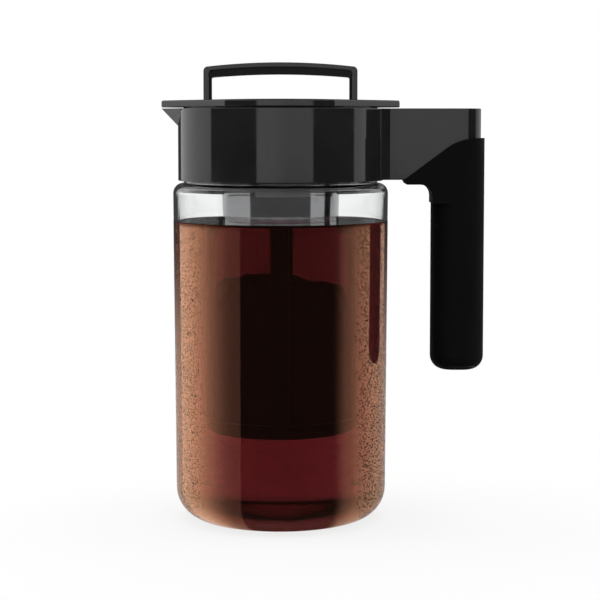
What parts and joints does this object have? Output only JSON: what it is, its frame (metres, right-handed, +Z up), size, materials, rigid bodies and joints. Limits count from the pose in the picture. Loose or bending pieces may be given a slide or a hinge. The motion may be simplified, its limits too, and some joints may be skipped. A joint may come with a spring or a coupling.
{
  "type": "cold brew coffee maker",
  "caption": "Clear jug with spouted collar, side handle with soft grip, twist lid with carrying loop, and a fine-mesh infuser that hangs from the lid.",
  "frame": {"origin": "centre of the jug's flat base, on the table", "axes": "+Z up along the jug's axis, +X towards the handle, -X towards the spout, -Y towards the viewer"},
  "size_m": [0.1529, 0.1016, 0.2164],
  "materials": {
    "clear_plastic": "clear copolyester, polished",
    "gloss_black": "black, polished",
    "black_plastic": "black, satin",
    "grip_silicone": "black silicone, matt",
    "silicone": "dark grey silicone, satin",
    "mesh": "fine woven nylon mesh",
    "steel": "stainless, bright"
  },
  "bodies": {
    "jug": {"jar": "clear_plastic", "neck_gasket": "silicone", "neck_ring": "black_plastic", "collar": "gloss_black", "handle": "gloss_black", "handle_screws": "steel", "grip_sleeve": "grip_silicone"},
    "lid_seat": {"lid_top_seal": "silicone"},
    "lid": {"lid_cover": "gloss_black", "lid_body": "black_plastic", "lid_gasket": "silicone", "lid_handle": "gloss_black"},
    "infuser_seat": {"infuser_seal": "silicone"},
    "infuser": {"infuser_ring": "gloss_black", "infuser_frame": "black_plastic", "mesh_panel_1": "mesh", "mesh_panel_2": "mesh", "mesh_panel_3": "mesh", "mesh_panel_4": "mesh", "infuser_base": "black_plastic", "base_mesh": "mesh"}
  },
  "joints": [
    {"name": "lid_lift", "type": "slide", "parent": "jug", "child": "lid_seat", "axis": [0, 0, 1], "range_m": [0, 0.165]},
    {"name": "lid_turn", "type": "hinge", "parent": "lid_seat", "child": "lid", "pos_m": [0, 0, 0.195], "axis": [0, 0, 1], "range_deg": [0, 90]},
    {"name": "infuser_unscrew", "type": "hinge", "parent": "lid", "child": "infuser_seat", "pos_m": [0, 0, 0.16], "axis": [0, 0, -1], "range_deg": [0, 300]},
    {"name": "infuser_drop", "type": "slide", "parent": "infuser_seat", "child": "infuser", "axis": [0, 0, -1], "range_m": [0, 0.0151]}
  ],
  "couplings": [
    {"joint": "infuser_drop", "follows": "infuser_unscrew", "m_per_rad": 0.0028648}
  ]
}
